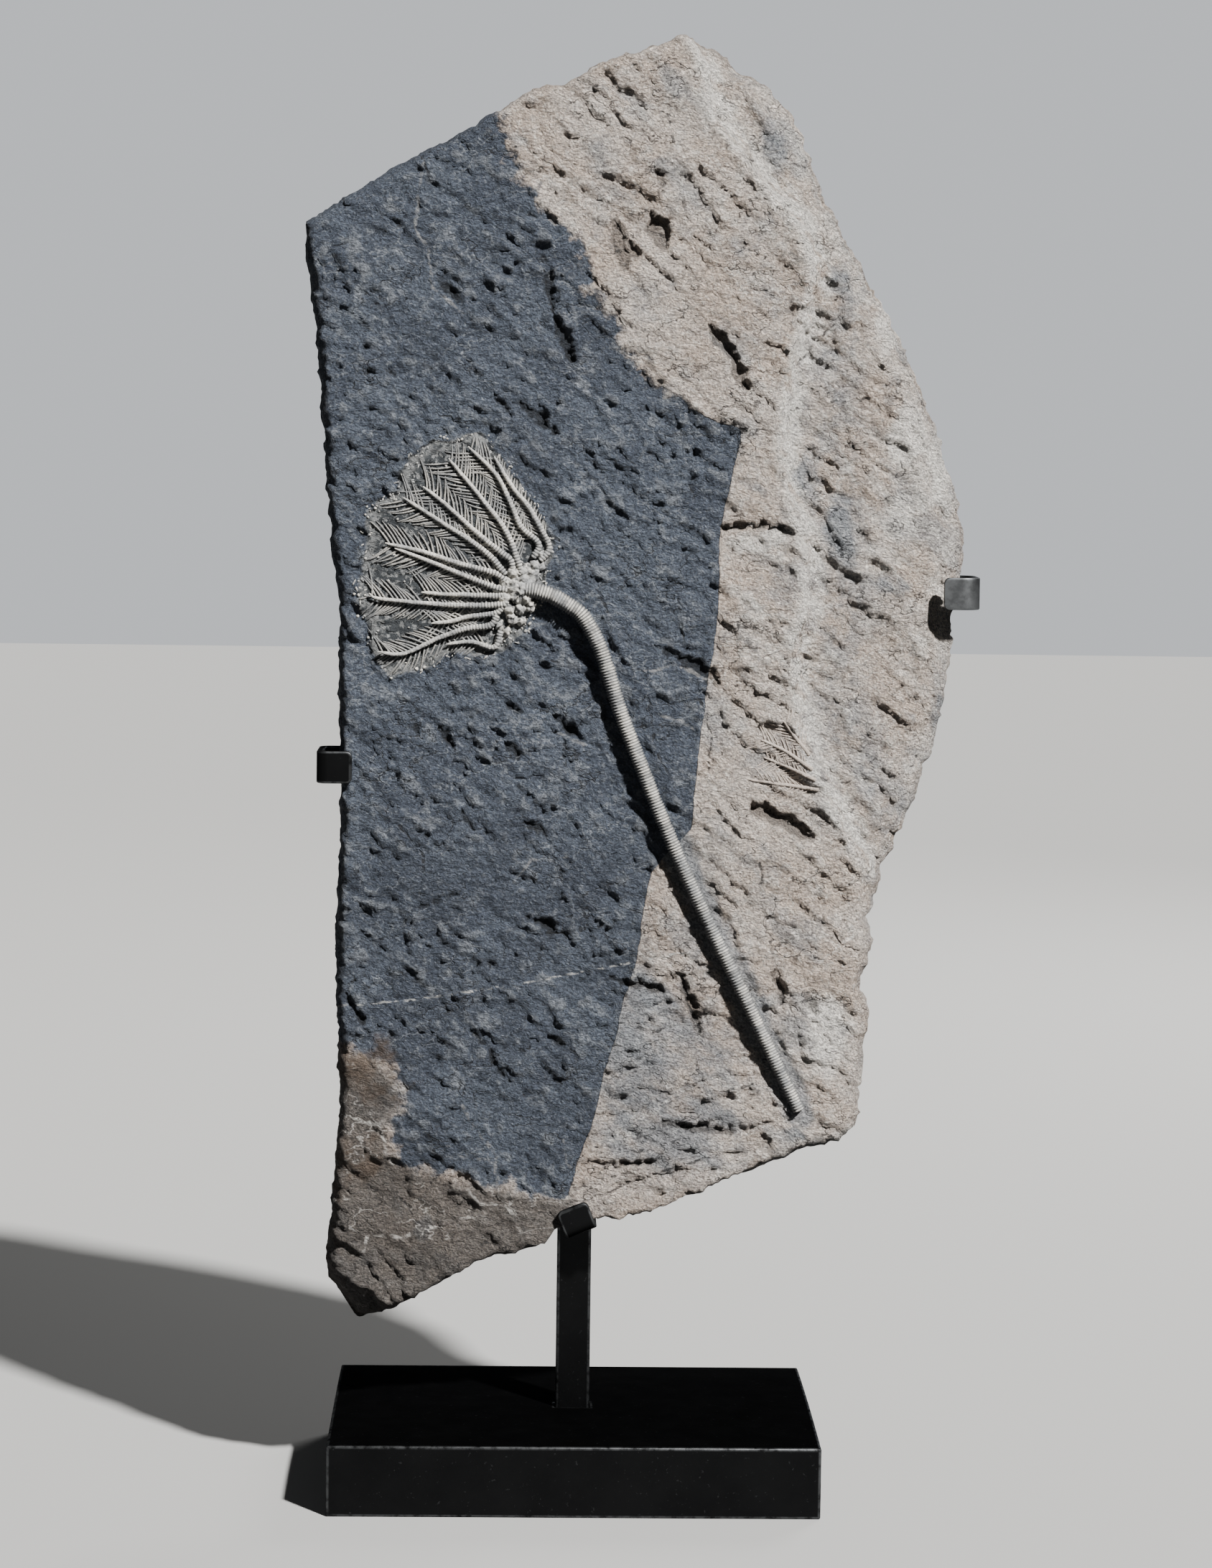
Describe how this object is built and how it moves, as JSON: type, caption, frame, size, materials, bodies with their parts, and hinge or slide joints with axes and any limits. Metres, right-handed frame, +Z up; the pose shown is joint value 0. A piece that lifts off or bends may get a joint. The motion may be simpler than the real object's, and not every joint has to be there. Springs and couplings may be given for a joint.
{
  "type": "crinoid fossil on stand",
  "caption": "Tall irregular stone slab with a stalked crinoid in relief, held upright by bent steel straps on a post and a rectangular steel base.",
  "frame": {"origin": "centre of the base's underside", "axes": "+Z up the post, the fossil face looks along -Y, +X to the right as seen from the front"},
  "size_m": [0.4185, 0.198, 0.909],
  "materials": {
    "slab_stone": "rough split limestone, dark blue-grey with a tan weathered layer",
    "fossil_calcite": "prepared calcite, matte cream grey",
    "weathered_fossil": "weathered calcite, matte tan",
    "blackened_steel": "blackened and waxed steel, satin"
  },
  "bodies": {
    "root": {"slab": "slab_stone", "stem": "fossil_calcite", "calyx": "fossil_calcite", "arm_01": "fossil_calcite", "arm_02": "fossil_calcite", "arm_03": "fossil_calcite", "arm_04": "fossil_calcite", "arm_05": "fossil_calcite", "arm_06": "fossil_calcite", "arm_07": "fossil_calcite", "arm_08": "fossil_calcite", "arm_09": "fossil_calcite", "arm_10": "fossil_calcite", "arm_11": "fossil_calcite", "arm_12": "fossil_calcite", "small_arm_01": "weathered_fossil", "small_arm_02": "weathered_fossil", "small_arm_03": "weathered_fossil", "small_arm_04": "weathered_fossil", "base": "blackened_steel", "post": "blackened_steel", "left_strap": "blackened_steel", "right_strap": "blackened_steel", "bottom_hook": "blackened_steel"}
  },
  "joints": []
}
